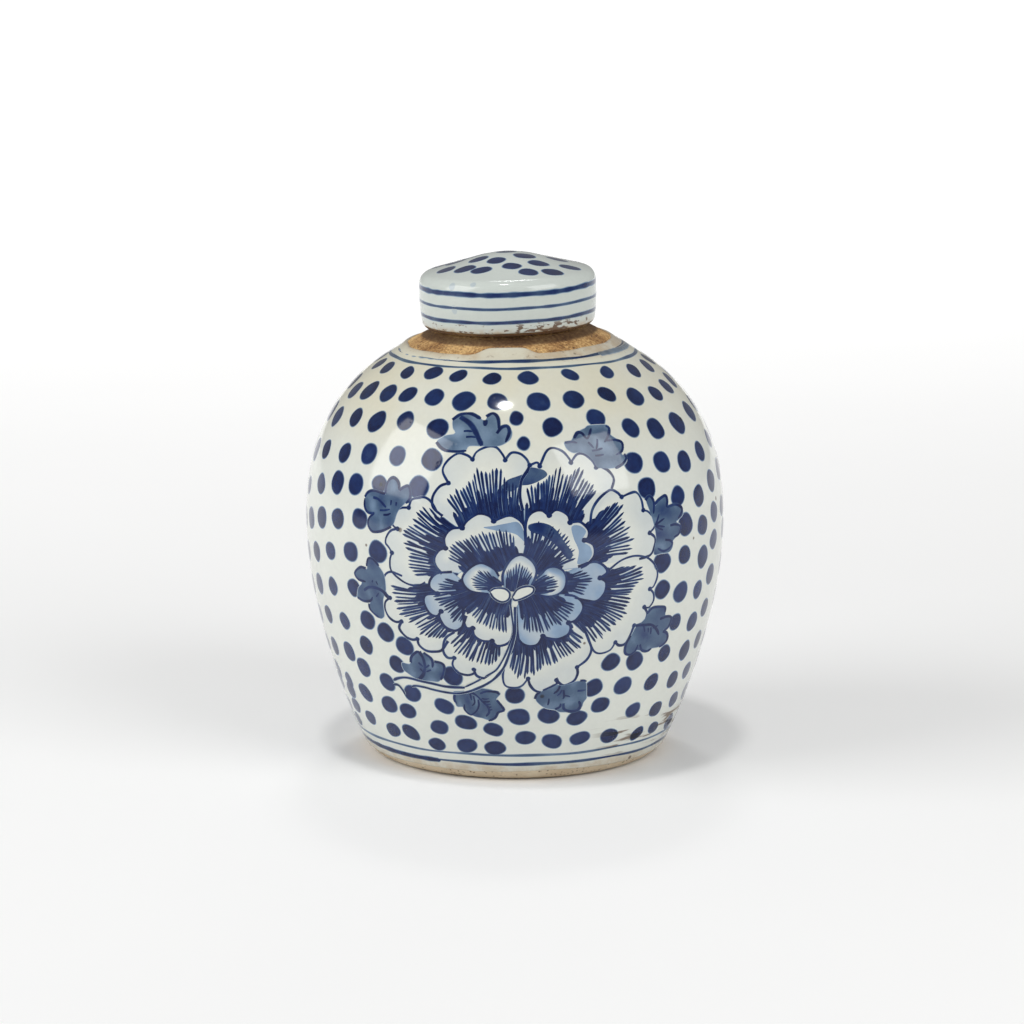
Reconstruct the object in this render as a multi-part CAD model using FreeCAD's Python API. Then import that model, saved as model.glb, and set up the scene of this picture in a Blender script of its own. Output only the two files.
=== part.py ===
"""Ginger jar: a hand-thrown stoneware jar with a loose cap lid.

Millimetres.  +Z is up, the origin is the centre of the jar's foot on the table, and -Y faces the front.
The jar and the lid are thrown clay.  A coat of glaze covers each outside, and a second coat lines the jar.
The foot, the collar round the neck and the lid's rim are bare clay, because a glazed face would stick in
the kiln.  The lid has slid a little to the left on the sloping collar, so it sits off centre and tilted.
"""
import FreeCAD, Part
import math
import os

Vector = FreeCAD.Vector

# Jar, outside of the glaze.  Lean is the wall's angle from vertical, positive where it opens upwards.
BELLY_RADIUS = 82.1
BELLY_HEIGHT = 93.8
UPPER_ARC = 103.7        # radius of the wall just above the widest line
UPPER_LEAN = -9.9        # lean where the upper wall turns into the shoulder
SHOULDER_ARC = 66.4
SHOULDER_LEAN = -57.0
COLLAR_START = 43.5      # radius where the shoulder flattens into the collar
COLLAR_ARC = 20.0
COLLAR_LEAN = -62.0
LOWER_ARC = 157.0        # radius of the wall just below the widest line
LOWER_LEAN = 11.7
TAPER_ARC = 266.0
TAPER_LEAN = 23.9
FOOT_ROUND = 8.2

# Jar, clay and glaze.
WALL = 5.6               # from the glaze's outside to the hollow
GLAZE = 0.5
LINING = 0.4
GLAZE_FOOT_HEIGHT = 3.6  # where the glaze was wiped off above the foot
BARE_RADIUS = 39.6       # bare ring round the neck
FOOT_RECESS_RADIUS = 46.0
FOOT_RECESS_DEPTH = 4.0
FOOT_RECESS_ROUND = 2.0
FLOOR_HEIGHT = 9.0
FLOOR_ROUND = 12.0

# Neck.
NECK_RADIUS = 26.2
NECK_BORE = 21.8
NECK_TOP = 181.0
NECK_ROOT_FILLET = 1.0
LIP_ROUND = 1.8
LINING_BELOW_LIP = 3.0

# Lid, in its own frame: z = 0 is the rim's lower face.
RIM_FLAT_RADIUS = 31.3   # outer edge of the rim's flat face
RIM_ROUND = 2.6
RIM_LEAN = 8.0
LID_WALL_ARC = 80.0
LID_WALL_LEAN = -3.0
LID_CORNER_ARC = 4.5
DOME_LEAN = -75.0
DOME_APEX_ARC = 48.0
LID_GLAZE = 0.4
LID_GLAZE_START = 2.4    # height of the glaze's lower edge above the rim
HOLLOW_RADIUS = 29.6
HOLLOW_WALL = 13.0       # straight part of the hollow
HOLLOW_CORNER_ARC = 6.0
HOLLOW_LEAN = -78.0
HOLLOW_APEX_ARC = 40.0

# How the lid sits on the jar.
LID_SHIFT = -2.3         # along X
LID_TILT = 2.0           # degrees, right-hand side up
RIM_HEIGHT = 168.5       # centre of the rim's lower face

NECK_OVERLAP = 1.0       # how far solids run into each other before they are joined or cut
ON_AXIS = 0.001          # a smaller radius than this counts as the axis


class Outline:
    """A run of lines and tangent arcs in the XZ plane, drawn by radius, height and lean."""

    def __init__(self, radius, height, lean):
        self.radius, self.height, self.lean = radius, height, lean
        self.edges = []

    def point(self):
        return Vector(self.radius, 0, self.height)

    def line_to(self, radius, height):
        start = self.point()
        self.radius, self.height = radius, height
        self.edges.append(Part.makeLine(start, self.point()))

    def line_to_radius(self, radius):
        """Go on straight, along the present lean, until this radius."""
        rise = (radius - self.radius) / math.tan(math.radians(self.lean))
        self.line_to(radius, self.height + rise)

    def arc_point(self, arc, lean):
        """Where an arc that turns inwards from the present point reaches this lean."""
        start, end = math.radians(self.lean), math.radians(lean)
        radius = self.radius + arc * (math.cos(end) - math.cos(start))
        return radius, self.height + arc * (math.sin(start) - math.sin(end))

    def arc_to(self, arc, lean):
        start = self.point()
        middle_radius, middle_height = self.arc_point(arc, (self.lean + lean) / 2)
        self.radius, self.height = self.arc_point(arc, lean)
        self.lean = lean
        middle = Vector(middle_radius, 0, middle_height)
        self.edges.append(Part.Arc(start, middle, self.point()).toShape())

    def start(self):
        return self.edges[0].valueAt(self.edges[0].FirstParameter)


def turned(edges):
    """The solid that a closed run of edges makes when it is turned about the axis."""
    face = Part.Face(Part.Wire(Part.__sortEdges__(edges)))
    return face.revolve(Vector(0, 0, 0), Vector(0, 0, 1), 360)


def turned_solid(outline):
    """Everything between an outline and the axis."""
    first, last = outline.start(), outline.point()
    edges = [Part.makeLine(Vector(0, 0, first.z), Vector(0, 0, last.z))]
    for end in (first, last):
        if end.x > ON_AXIS:
            edges.append(Part.makeLine(Vector(0, 0, end.z), end))
    return turned(outline.edges + edges)


def turned_coat(outer, inner):
    """The layer between two outlines."""
    ends = [Part.makeLine(outer.start(), inner.start()), Part.makeLine(outer.point(), inner.point())]
    return turned(outer.edges + inner.edges + ends)


def taper_start(inset):
    """Radius and height of the lower end of the taper arc, on the wall moved in by inset."""
    lower, taper = math.radians(LOWER_LEAN), math.radians(TAPER_LEAN)
    radius = BELLY_RADIUS - inset + (LOWER_ARC - inset) * (math.cos(lower) - 1)
    radius += (TAPER_ARC - inset) * (math.cos(taper) - math.cos(lower))
    height = BELLY_HEIGHT - (LOWER_ARC - inset) * math.sin(lower)
    height -= (TAPER_ARC - inset) * (math.sin(taper) - math.sin(lower))
    return radius, height


def draw_wall(inset, bottom, bottom_round, from_axis):
    """The jar's wall moved in by inset, from a flat bottom with a round edge to the collar."""
    taper = math.radians(TAPER_LEAN)
    wall_radius, wall_height = taper_start(inset)
    round_top = bottom + bottom_round * (1 - math.sin(taper))
    round_radius = wall_radius - (wall_height - round_top) * math.tan(taper)
    flat_radius = round_radius - bottom_round * math.cos(taper)
    outline = Outline(0.0 if from_axis else flat_radius, bottom, 90.0)
    if from_axis:
        outline.line_to(flat_radius, bottom)
    outline.arc_to(bottom_round, TAPER_LEAN)
    outline.line_to(wall_radius, wall_height)
    outline.arc_to(TAPER_ARC - inset, LOWER_LEAN)
    outline.arc_to(LOWER_ARC - inset, 0.0)
    outline.arc_to(UPPER_ARC - inset, UPPER_LEAN)
    outline.arc_to(SHOULDER_ARC - inset, SHOULDER_LEAN)
    outline.line_to_radius(COLLAR_START - inset * math.cos(math.radians(SHOULDER_LEAN)))
    outline.arc_to(COLLAR_ARC - inset, COLLAR_LEAN)
    return outline


def outside_outline(inset):
    """The jar's outside, up to the root of the neck."""
    outline = draw_wall(inset, 0.0, FOOT_ROUND, from_axis=False)
    outline.line_to_radius(NECK_RADIUS - NECK_OVERLAP)
    return outline


def hollow_outline(inset, top):
    """The jar's inside moved in by inset, from the middle of the floor up the neck's bore."""
    outline = draw_wall(WALL + inset, FLOOR_HEIGHT + inset, FLOOR_ROUND, from_axis=True)
    outline.line_to_radius(NECK_BORE - inset)
    outline.line_to(NECK_BORE - inset, top)
    return outline


def neck():
    """The neck with its rounded lip."""
    outline = Outline(NECK_RADIUS, BELLY_HEIGHT, 0.0)
    outline.line_to(NECK_RADIUS, NECK_TOP - LIP_ROUND)
    outline.arc_to(LIP_ROUND, -90.0)
    return turned_solid(outline)


def foot_recess():
    """The shallow hollow under the foot, with a round inner corner."""
    flat = Part.makeCylinder(FOOT_RECESS_RADIUS, FOOT_RECESS_DEPTH)
    top_edge = [edge for edge in flat.Edges if edge.BoundBox.ZMin > FOOT_RECESS_DEPTH / 2]
    return flat.makeFillet(FOOT_RECESS_ROUND, top_edge)


def neck_root(body):
    """The edge where the neck meets the collar."""
    for edge in body.Edges:
        box = edge.BoundBox
        flat = box.ZLength < 0.01
        if flat and abs(box.XLength / 2 - NECK_RADIUS) < 0.01 and box.ZMin < NECK_TOP - 2 * LIP_ROUND:
            return [edge]
    raise ValueError("the neck's root edge was not found")


def jar_body():
    """The clay: wall, floor, foot ring, collar and neck."""
    outside = turned_solid(outside_outline(GLAZE)).fuse(neck()).removeSplitter()
    outside = outside.makeFillet(NECK_ROOT_FILLET, neck_root(outside))
    hollow = turned_solid(hollow_outline(0.0, NECK_TOP + NECK_OVERLAP))
    return outside.cut(hollow).cut(foot_recess())


def jar_glaze():
    """The coat on the outside, from above the foot to the edge of the bare collar."""
    coat = turned_coat(outside_outline(0.0), outside_outline(GLAZE))
    foot = Part.makeCylinder(BELLY_RADIUS, GLAZE_FOOT_HEIGHT)
    bare_ring = Part.makeCylinder(BARE_RADIUS, NECK_TOP, Vector(LID_SHIFT, 0, BELLY_HEIGHT))
    return coat.cut(foot).cut(bare_ring)


def jar_lining():
    """The coat on the inside, up to just below the lip."""
    top = NECK_TOP - LINING_BELOW_LIP
    return turned_coat(hollow_outline(0.0, top), hollow_outline(LINING, top))


def lid_outline(inset):
    """The lid's outside with its wall and dome moved in by inset, from the rim to the apex."""
    outline = Outline(RIM_FLAT_RADIUS - inset, 0.0, 90.0)
    outline.arc_to(RIM_ROUND, RIM_LEAN)
    outline.arc_to(LID_WALL_ARC - inset, LID_WALL_LEAN)
    outline.arc_to(LID_CORNER_ARC - inset, DOME_LEAN)
    apex_arc = DOME_APEX_ARC - inset
    outline.line_to_radius(apex_arc * math.cos(math.radians(DOME_LEAN)))
    outline.arc_to(apex_arc, -90.0)
    return outline


def lid_hollow():
    """The space under the lid that drops over the neck."""
    outline = Outline(HOLLOW_RADIUS, 0.0, 0.0)
    outline.line_to(HOLLOW_RADIUS, HOLLOW_WALL)
    outline.arc_to(HOLLOW_CORNER_ARC, HOLLOW_LEAN)
    outline.line_to_radius(HOLLOW_APEX_ARC * math.cos(math.radians(HOLLOW_LEAN)))
    outline.arc_to(HOLLOW_APEX_ARC, -90.0)
    return turned_solid(outline)


def seated(shape):
    """Put a shape made in the lid's own frame where the lid sits on the jar."""
    shape.rotate(Vector(0, 0, 0), Vector(0, 1, 0), -LID_TILT)
    shape.translate(Vector(LID_SHIFT, 0, RIM_HEIGHT))
    return shape


def lid_body():
    """The clay cap."""
    return seated(turned_solid(lid_outline(LID_GLAZE)).cut(lid_hollow()))


def lid_glaze():
    """The coat on the lid, from above the bare rim over the whole dome."""
    coat = turned_coat(lid_outline(0.0), lid_outline(LID_GLAZE))
    return seated(coat.cut(Part.makeCylinder(BELLY_RADIUS, LID_GLAZE_START)))


SUBPARTS = {
    "jar_body": jar_body,
    "jar_glaze": jar_glaze,
    "jar_lining": jar_lining,
    "lid_body": lid_body,
    "lid_glaze": lid_glaze,
}

os.makedirs("parts", exist_ok=True)
for name, make in SUBPARTS.items():
    make().exportStep(os.path.join("parts", name + ".step"))
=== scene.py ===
"""Ginger jar: looks.  Sizes are in millimetres and MM turns them into Blender's metres.

The jar's side is unrolled: a place on it is (around, up).  around is the angle from the front times the
belly's radius, positive to the right, and up is the distance along the wall above the widest line.
"""
import functools
import math
import random

import bpy
import numpy as np
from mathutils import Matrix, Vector
from mathutils.geometry import delaunay_2d_cdt


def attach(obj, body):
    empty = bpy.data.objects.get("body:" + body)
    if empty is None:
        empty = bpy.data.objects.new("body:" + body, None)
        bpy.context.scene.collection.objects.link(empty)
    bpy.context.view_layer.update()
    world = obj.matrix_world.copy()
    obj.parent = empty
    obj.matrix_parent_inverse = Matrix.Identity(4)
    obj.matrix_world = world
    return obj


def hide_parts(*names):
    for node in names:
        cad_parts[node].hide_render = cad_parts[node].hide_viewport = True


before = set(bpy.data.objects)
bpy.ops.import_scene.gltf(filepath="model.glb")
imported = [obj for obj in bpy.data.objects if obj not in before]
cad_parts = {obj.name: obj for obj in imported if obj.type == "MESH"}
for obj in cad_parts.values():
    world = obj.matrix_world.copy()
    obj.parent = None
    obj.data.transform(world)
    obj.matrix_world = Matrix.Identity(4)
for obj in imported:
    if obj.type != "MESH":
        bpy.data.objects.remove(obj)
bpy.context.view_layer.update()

MM = 0.001
TAU = 2 * math.pi

# ---------------------------------------------------------------- sizes shared with the CAD part

BELLY_RADIUS, BELLY_HEIGHT = 82.1, 93.8
UPPER_ARC, UPPER_LEAN = 103.7, -9.9
SHOULDER_ARC, SHOULDER_LEAN = 66.4, -57.0
COLLAR_START, COLLAR_ARC, COLLAR_LEAN = 43.5, 20.0, -62.0
LOWER_ARC, LOWER_LEAN = 157.0, 11.7
TAPER_ARC, TAPER_LEAN = 266.0, 23.9
FOOT_ROUND = 8.2
NECK_RADIUS = 26.2
GLAZE_FOOT_HEIGHT, BARE_RADIUS = 3.6, 39.6
RIM_FLAT_RADIUS, RIM_ROUND, RIM_LEAN = 31.3, 2.6, 8.0
LID_WALL_ARC, LID_WALL_LEAN, LID_CORNER_ARC = 80.0, -3.0, 4.5
DOME_LEAN, DOME_APEX_ARC = -75.0, 48.0
LID_GLAZE_START = 2.4
LID_SHIFT, LID_TILT, RIM_HEIGHT = -2.3, 2.0, 168.5


# ---------------------------------------------------------------- outlines of the jar and the lid

class Meridian:
    """The outline that a turned wall follows, as radius, height and lean at each distance along it."""

    def __init__(self, radius, height, lean):
        self.radius, self.height, self.lean = [radius], [height], [lean]

    def arc_to(self, arc, lean):
        steps = max(2, int(abs(lean - self.lean[-1]) * math.radians(1) * arc / 0.5))
        start = math.radians(self.lean[-1])
        radius, height = self.radius[-1], self.height[-1]
        for angle in np.linspace(start, math.radians(lean), steps + 1)[1:]:
            self.radius.append(radius + arc * (math.cos(angle) - math.cos(start)))
            self.height.append(height + arc * (math.sin(start) - math.sin(angle)))
            self.lean.append(math.degrees(angle))

    def line_to(self, radius):
        slope = math.tan(math.radians(self.lean[-1]))
        self.height.append(self.height[-1] + (radius - self.radius[-1]) / slope)
        self.radius.append(radius)
        self.lean.append(self.lean[-1])

    def finish(self, zero_height=None):
        """Measure the run, counting from the start or from where it passes zero_height."""
        self.radius, self.height = np.array(self.radius), np.array(self.height)
        self.lean = np.radians(self.lean)
        steps = np.hypot(np.diff(self.radius), np.diff(self.height))
        self.run = np.concatenate([[0.0], np.cumsum(steps)])
        if zero_height is not None:
            self.run -= np.interp(zero_height, self.height, self.run)
        return self

    def at(self, run):
        return (np.interp(run, self.run, column) for column in (self.radius, self.height, self.lean))

    def run_at_height(self, height):
        return float(np.interp(height, self.height, self.run))


def jar_meridian():
    taper = math.radians(TAPER_LEAN)
    lower = math.radians(LOWER_LEAN)
    radius = BELLY_RADIUS + LOWER_ARC * (math.cos(lower) - 1)
    radius += TAPER_ARC * (math.cos(taper) - math.cos(lower))
    height = BELLY_HEIGHT - LOWER_ARC * math.sin(lower) - TAPER_ARC * (math.sin(taper) - math.sin(lower))
    round_radius = radius - (height - FOOT_ROUND * (1 - math.sin(taper))) * math.tan(taper)
    wall = Meridian(round_radius - FOOT_ROUND * math.cos(taper), 0.0, 90.0)
    wall.arc_to(FOOT_ROUND, TAPER_LEAN)
    wall.line_to(radius)
    wall.arc_to(TAPER_ARC, LOWER_LEAN)
    wall.arc_to(LOWER_ARC, 0.0)
    wall.arc_to(UPPER_ARC, UPPER_LEAN)
    wall.arc_to(SHOULDER_ARC, SHOULDER_LEAN)
    wall.line_to(COLLAR_START)
    wall.arc_to(COLLAR_ARC, COLLAR_LEAN)
    wall.line_to(NECK_RADIUS)
    return wall.finish(zero_height=BELLY_HEIGHT)


def lid_meridian():
    wall = Meridian(RIM_FLAT_RADIUS, 0.0, 90.0)
    wall.arc_to(RIM_ROUND, RIM_LEAN)
    wall.arc_to(LID_WALL_ARC, LID_WALL_LEAN)
    wall.arc_to(LID_CORNER_ARC, DOME_LEAN)
    wall.line_to(DOME_APEX_ARC * math.cos(math.radians(DOME_LEAN)))
    wall.arc_to(DOME_APEX_ARC, -90.0)
    return wall.finish()


JAR = jar_meridian()
LID = lid_meridian()


def jar_wobble(angle, run):
    """How far the thrown wall stands off a true turned one: slow out-of-round and faint throwing rings."""
    slow = 0.16 * np.sin(2 * angle + 0.6 + run / 60) + 0.09 * np.sin(3 * angle + 2.0 - run / 45)
    rings = 0.035 * np.sin(run / 3.1 + 1.3 * np.sin(angle)) * np.exp(-((run + 10) / 70) ** 2)
    return slow + rings - 0.13


def jar_place(around, up, lift):
    """Points on the jar's glaze, lift above it, in metres."""
    around, up, lift = np.broadcast_arrays(*(np.asarray(x, float) for x in (around, up, lift)))
    radius, height, lean = JAR.at(up)
    angle = around / BELLY_RADIUS
    out = lift + jar_wobble(angle, up)
    radius = radius + out * np.cos(lean)
    height = height - out * np.sin(lean)
    return np.stack([radius * np.sin(angle), -radius * np.cos(angle), height], -1) * MM


def seat_lid(points):
    """From the lid's own frame, in mm, to where the lid sits on the jar."""
    tilt = math.radians(LID_TILT)
    x = points[..., 0] * math.cos(tilt) - points[..., 2] * math.sin(tilt) + LID_SHIFT
    z = points[..., 0] * math.sin(tilt) + points[..., 2] * math.cos(tilt) + RIM_HEIGHT
    return np.stack([x, points[..., 1], z], -1) * MM


def lid_point(angle, run, lift):
    radius, height, lean = LID.at(run)
    wobble = 0.10 * np.sin(2 * angle + 1.0) + 0.05 * np.sin(3 * angle + run / 9) - 0.10
    out = lift + wobble * np.clip(radius / RIM_FLAT_RADIUS, 0, 1)
    radius = radius + out * np.cos(lean)
    height = height - out * np.sin(lean)
    return seat_lid(np.stack([radius * np.sin(angle), -radius * np.cos(angle), height], -1))


def lid_side_place(around, up, lift):
    """Points on the lid's wall.  around is measured at RIM_FLAT_RADIUS and up along the wall from the rim."""
    around, up, lift = np.broadcast_arrays(*(np.asarray(x, float) for x in (around, up, lift)))
    return lid_point(around / RIM_FLAT_RADIUS, up, lift)


def lid_top_place(right, back, lift):
    """Points on the dome, seen from above: right and back of its apex, measured along the dome."""
    right, back, lift = np.broadcast_arrays(*(np.asarray(x, float) for x in (right, back, lift)))
    return lid_point(np.arctan2(right, -back), LID.run[-1] - np.hypot(right, back), lift)


def jar_stretch(up):
    """How much wider than life a mark is in the unrolled view at this height."""
    return BELLY_RADIUS / np.interp(up, JAR.run, JAR.radius)


def no_stretch(up):
    return np.ones_like(up)


# ---------------------------------------------------------------- curves and fills in the unrolled view

def curve(points, step=0.6, closed=False):
    """A smooth line through the points, as evenly spaced places."""
    points = np.asarray(points, float)
    if closed:
        padded = np.vstack([points[-1:], points, points[:2]])
    else:
        padded = np.vstack([2 * points[:1] - points[1:2], points, 2 * points[-1:] - points[-2:-1]])
    t = np.linspace(0, 1, 8, endpoint=False)[:, None]
    pieces = []
    for a, b, c, d in zip(padded, padded[1:], padded[2:], padded[3:]):
        bend = (2 * a - 5 * b + 4 * c - d) * t ** 2 + (3 * b - a - 3 * c + d) * t ** 3
        pieces.append(b + 0.5 * ((c - a) * t + bend))
    pieces.append(padded[-2:-1])
    return even(np.vstack(pieces), step)


def even(line, step):
    run = np.concatenate([[0.0], np.cumsum(np.hypot(*np.diff(line, axis=0).T))])
    places = np.linspace(0, run[-1], max(3, int(run[-1] / step) + 2))
    return np.stack([np.interp(places, run, line[:, k]) for k in (0, 1)], -1)


def part_way(line, fraction):
    """The place a given fraction of the way along a line."""
    run = np.concatenate([[0.0], np.cumsum(np.hypot(*np.diff(line, axis=0).T))])
    return np.array([np.interp(fraction * run[-1], run, line[:, k]) for k in (0, 1)])


def distance(places, line):
    """Shortest distance from each place to a line."""
    start, step = line[:-1], np.diff(line, axis=0)
    ahead = places[:, None] - start
    share = np.clip((ahead * step).sum(-1) / np.maximum((step ** 2).sum(-1), 1e-9), 0, 1)
    return np.linalg.norm(ahead - share[..., None] * step, axis=-1).min(1)


def inside(places, loop):
    x, y = places[:, :1], places[:, 1:]
    ahead = np.roll(loop, -1, 0)
    spans = (loop[:, 1] > y) != (ahead[:, 1] > y)
    rise = np.where(ahead[:, 1] == loop[:, 1], 1e-9, ahead[:, 1] - loop[:, 1])
    crossing = loop[:, 0] + (y - loop[:, 1]) * (ahead[:, 0] - loop[:, 0]) / rise
    return (spans & (x < crossing)).sum(1) % 2 == 1


def waver(places, seed, pitch):
    """Slow uneven values between about -1 and 1."""
    rng = random.Random(seed)
    total = np.zeros(len(places))
    for _ in range(4):
        heading, phase = rng.uniform(0, TAU), rng.uniform(0, TAU)
        along = places[:, 0] * math.cos(heading) + places[:, 1] * math.sin(heading)
        total += np.sin(TAU * along / (pitch * rng.uniform(0.7, 1.4)) + phase)
    return total / 2.5


# ---------------------------------------------------------------- paint

SUNK = 0.03    # how much lower the edge of a layer lies than its middle


class Paint:
    """Thin layers of cobalt that follow the glaze, gathered into one piece.

    ink runs from 0, clear glaze, to 1, thick dark cobalt.
    """

    def __init__(self, name, place, stretch):
        self.name, self.place, self.stretch = name, place, stretch
        self.places, self.lifts, self.inks, self.faces = [], [], [], []
        self.count, self.layers = 0, 0

    def add(self, places, lifts, inks, faces):
        self.layers += 1
        self.places.append(places)
        self.lifts.append(np.asarray(lifts, float) + 0.0003 * (self.layers % 37))
        self.inks.append(np.asarray(inks, float))
        self.faces.extend([tuple(k + self.count for k in face) for face in faces])
        self.count += len(places)

    def stroke(self, points, width, ink=0.95, ground=0.0, lift=0.05, ends=(0.5, 0.35), smooth=True,
               fade=0.33):
        """One pull of the brush, fading to the ground on both sides.  ends are its widths at the two ends."""
        line = curve(points) if smooth else even(np.asarray(points, float), 0.6)
        stretch = self.stretch(line[:, 1])
        heading = np.gradient(line, axis=0) / np.stack([stretch, np.ones(len(line))], -1)
        heading /= np.maximum(np.linalg.norm(heading, axis=1), 1e-9)[:, None]
        along = np.linspace(0, 1, len(line))
        length = 0.6 * len(line)
        round_end = min(0.5, 1.2 / length)
        profile = np.interp(along, [0, round_end, 1 - round_end, 1], [ends[0], 1, 1, ends[1]])
        half = 0.5 * width * profile * (1 + 0.13 * waver(line, self.layers, 7.0))
        wet = ink * (1 + 0.08 * waver(line, self.layers + 900, 9.0))
        places, lifts, inks = [], [], []
        rows = ((-1 - fade, -SUNK, 0), (fade - 1, 0, 1), (0, 0, 1), (1 - fade, 0, 1), (1 + fade, -SUNK, 0))
        for share, rise, strength in rows:
            across = np.stack([-heading[:, 1] * stretch, heading[:, 0]], -1) * (share * half)[:, None]
            places.append(line + across)
            lifts.append(np.full(len(line), lift + rise))
            inks.append(ground + (wet - ground) * strength)
        n = len(line)
        grid = [(r * n + k, r * n + k + 1, (r + 1) * n + k + 1, (r + 1) * n + k)
                for r in range(4) for k in range(n - 1)]
        self.add(np.vstack(places), np.concatenate(lifts), np.concatenate(inks), grid)

    def dot(self, around, up, wide, high, ink=0.97, ground=0.0, lift=0.04, soft=0.7):
        """A dab of the brush, about an oval, with a soft edge."""
        rng = random.Random(self.layers * 7 + int(around * 10))
        phases = [rng.uniform(0, TAU) for _ in range(3)]
        sizes = [rng.uniform(0.008, 0.03) for _ in range(3)]
        turn = rng.uniform(-0.3, 0.3)
        sides = 26
        angle = np.arange(sides) / sides * TAU
        edge = 1 + sum(s * np.sin((k + 2) * angle + p) for k, (s, p) in enumerate(zip(sizes, phases)))
        mean = 0.25 * (wide + high)
        places, inks, lifts = [np.array([[around, up]])], [[0.97 * ink]], [[lift]]
        fade = 0.5 * soft / mean
        for share, strength in ((0.45, 0.97), (0.78, 1.0), (1 - fade, 0.96), (1 + fade, 0)):
            x = 0.5 * wide * edge * share * np.cos(angle)
            y = 0.5 * high * edge * share * np.sin(angle)
            places.append(np.stack([around + x * math.cos(turn) - y * math.sin(turn),
                                    up + x * math.sin(turn) + y * math.cos(turn)], -1))
            inks.append(np.full(sides, ground + (ink - ground) * strength))
            lifts.append(np.full(sides, lift if strength else lift - SUNK))
        after = [(k + 1) % sides for k in range(sides)]
        faces = [(0, 1 + k, 1 + after[k]) for k in range(sides)]
        for first in (1, 1 + sides, 1 + 2 * sides):
            faces += [(first + k, first + sides + k, first + sides + after[k], first + after[k])
                      for k in range(sides)]
        self.add(np.vstack(places), np.concatenate(lifts), np.concatenate(inks), faces)

    def fill(self, outline, tone, lift=0.03, step=1.2, rim=0.0, smooth=True):
        """A wash inside a closed outline.  tone gives the ink at each place, rim the ink at its edge."""
        loop = curve(outline, 0.8, closed=True)[:-1] if smooth else even(np.asarray(outline, float), 0.8)[:-1]
        low, high = loop.min(0), loop.max(0)
        xs, ys = np.arange(low[0], high[0], step), np.arange(low[1], high[1], step)
        field = np.array([(x + 0.5 * step * (k % 2), y) for k, y in enumerate(ys) for x in xs])
        closed = np.vstack([loop, loop[:1]])
        field = field[inside(field, loop)]
        field = field[distance(field, closed) > 0.75]
        normal = np.roll(loop, -1, 0) - np.roll(loop, 1, 0)
        normal = np.stack([-normal[:, 1], normal[:, 0]], -1)
        normal /= np.maximum(np.linalg.norm(normal, axis=1), 1e-9)[:, None]
        inner = np.vstack([loop + 0.4 * normal, loop - 0.4 * normal])
        inner = inner[inside(inner, loop)]
        inner = inner[distance(inner, closed) > 0.33]
        every = [Vector(place) for place in np.vstack([loop, inner, field])]
        cut = delaunay_2d_cdt(every, [], [list(range(len(loop)))], 1, 1e-4)
        places = np.array([tuple(v) for v in cut[0]])
        edge = distance(places, closed) < 0.05
        ink = np.where(edge, rim, tone(places))
        faces = [face if turning(places, face) > 0 else face[::-1] for face in cut[2]]
        self.add(places, np.where(edge, lift - SUNK, lift), ink, faces)

    def build(self, body, material):
        places = np.vstack(self.places)
        lifts = np.concatenate(self.lifts)
        around, up = places.T
        shape = mesh_piece(self.name, self.place(around, up, lifts), self.faces, body, material)
        ink = shape.data.attributes.new("ink", "FLOAT", "POINT")
        ink.data.foreach_set("value", np.clip(np.concatenate(self.inks), 0, 1))
        side = 0.2
        right = self.place(around + side, up, 0) - self.place(around - side, up, 0)
        rise = self.place(around, up + side, 0) - self.place(around, up - side, 0)
        normals = np.cross(right, rise)
        normals /= np.maximum(np.linalg.norm(normals, axis=1), 1e-12)[:, None]
        shape.data.normals_split_custom_set_from_vertices(normals.tolist())
        return shape


def turning(places, face):
    a, b, c = (places[k] for k in face[:3])
    return (b[0] - a[0]) * (c[1] - a[1]) - (b[1] - a[1]) * (c[0] - a[0])


def mesh_piece(name, points, faces, body, material):
    mesh = bpy.data.meshes.new(name)
    mesh.from_pydata(points.tolist(), [], faces)
    mesh.polygons.foreach_set("use_smooth", [True] * len(mesh.polygons))
    mesh.materials.append(material)
    shape = bpy.data.objects.new(name, mesh)
    bpy.context.scene.collection.objects.link(shape)
    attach(shape, body)
    return shape


# ---------------------------------------------------------------- finishes

# Where Blender's mix node keeps its factor, its two colours and its mixed colour.
MIX_FACTOR, MIX_A, MIX_B, MIX_RESULT = 0, 6, 7, 2


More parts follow.
